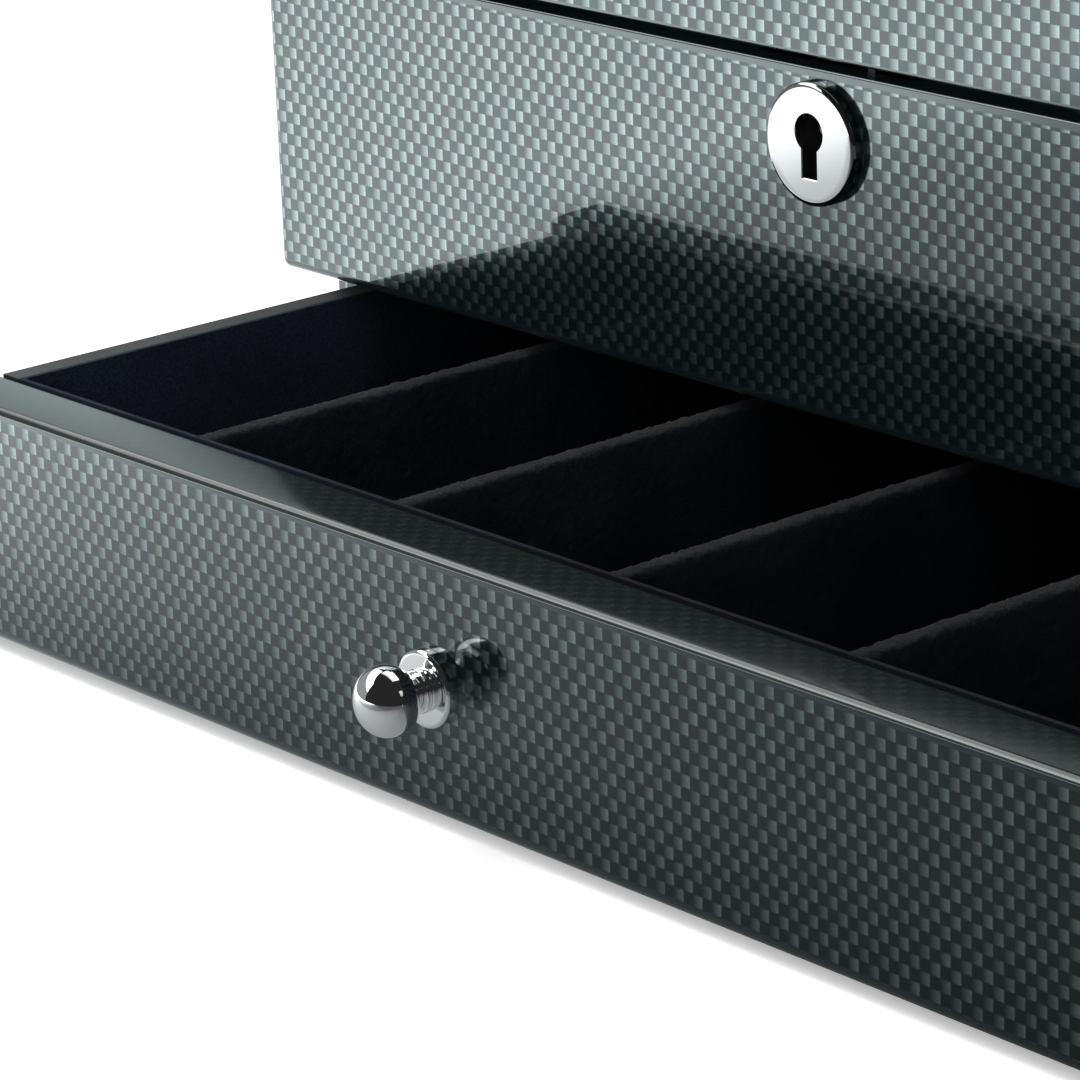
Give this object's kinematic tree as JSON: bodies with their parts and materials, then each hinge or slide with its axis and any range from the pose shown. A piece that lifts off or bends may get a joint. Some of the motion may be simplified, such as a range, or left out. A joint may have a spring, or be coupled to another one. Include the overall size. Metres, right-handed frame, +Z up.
{
  "type": "watch box",
  "caption": "Lacquered watch box with a glazed hinged lid, a key lock, padded watch pillows and a lined, divided drawer with a ball knob.",
  "frame": {"origin": "middle of the case's footprint (not counting the opened drawer), on the surface it stands on", "axes": "+X to the right along the front, -Y out of the front, +Z up"},
  "size_m": [0.285, 0.3126, 0.1371],
  "materials": {
    "woven_lacquer": "thick clear gloss over a square black and silver weave",
    "dark_wood": "black stain, satin",
    "velvet": "short black velvet",
    "felt": "pressed felt",
    "polished_chrome": "mirror polish",
    "steel": "fine brushing",
    "clear_glass": "clear, polished",
    "slippery_plastic": "waxy",
    "soft_rubber": "soft, matt"
  },
  "bodies": {
    "case": {"case_front_panel": "woven_lacquer", "case_left_side": "woven_lacquer", "case_right_side": "woven_lacquer", "case_back_panel": "woven_lacquer", "base_board": "dark_wood", "case_shelf": "dark_wood", "drawer_stops": "dark_wood", "tray_floor_lining": "velvet", "tray_wall_lining": "velvet", "tray_long_divider": "velvet", "tray_cross_dividers": "velvet", "watch_pillow_1": "velvet", "watch_pillow_2": "velvet", "watch_pillow_3": "velvet", "watch_pillow_4": "velvet", "watch_pillow_5": "velvet", "watch_pillow_6": "velvet", "watch_pillow_7": "velvet", "watch_pillow_8": "velvet", "watch_pillow_9": "velvet", "watch_pillow_10": "velvet", "base_felt": "felt", "escutcheon": "polished_chrome", "lock_selvedge": "polished_chrome", "lock_case": "steel", "lock_drill_pin": "steel", "hinge_case_leaves": "steel", "hinge_pins": "steel", "hinge_case_screws": "steel", "drawer_glides": "slippery_plastic", "lid_bumpers": "soft_rubber"},
    "lid": {"lid_front_rail": "woven_lacquer", "lid_right_rail": "woven_lacquer", "lid_back_rail": "woven_lacquer", "lid_left_rail": "woven_lacquer", "lid_glass": "clear_glass", "lid_glass_bead": "dark_wood", "lid_lining": "velvet", "hinge_lid_leaves": "steel", "hinge_lid_screws": "steel", "lock_link": "polished_chrome", "lock_link_screws": "steel"},
    "drawer": {"drawer_front": "woven_lacquer", "drawer_left_side": "dark_wood", "drawer_right_side": "dark_wood", "drawer_back": "dark_wood", "drawer_bottom": "dark_wood", "drawer_floor_pad": "velvet", "drawer_wall_lining": "velvet", "drawer_dividers": "velvet", "knob": "polished_chrome", "knob_rose": "polished_chrome", "knob_screw": "steel"},
    "bolt": {"lock_bolt": "steel"}
  },
  "joints": [
    {"name": "drawer_slide", "type": "slide", "parent": "case", "child": "drawer", "axis": [0, -1, 0], "range_m": [-0.0824, 0.05]},
    {"name": "lid_hinge", "type": "hinge", "parent": "case", "child": "lid", "pos_m": [0, 0.1076, 0.10475], "axis": [-1, 0, 0], "range_deg": [0, 95]},
    {"name": "lock_bolt_slide", "type": "slide", "parent": "case", "child": "bolt", "axis": [1, 0, 0], "range_m": [0, 0.0045]}
  ]
}
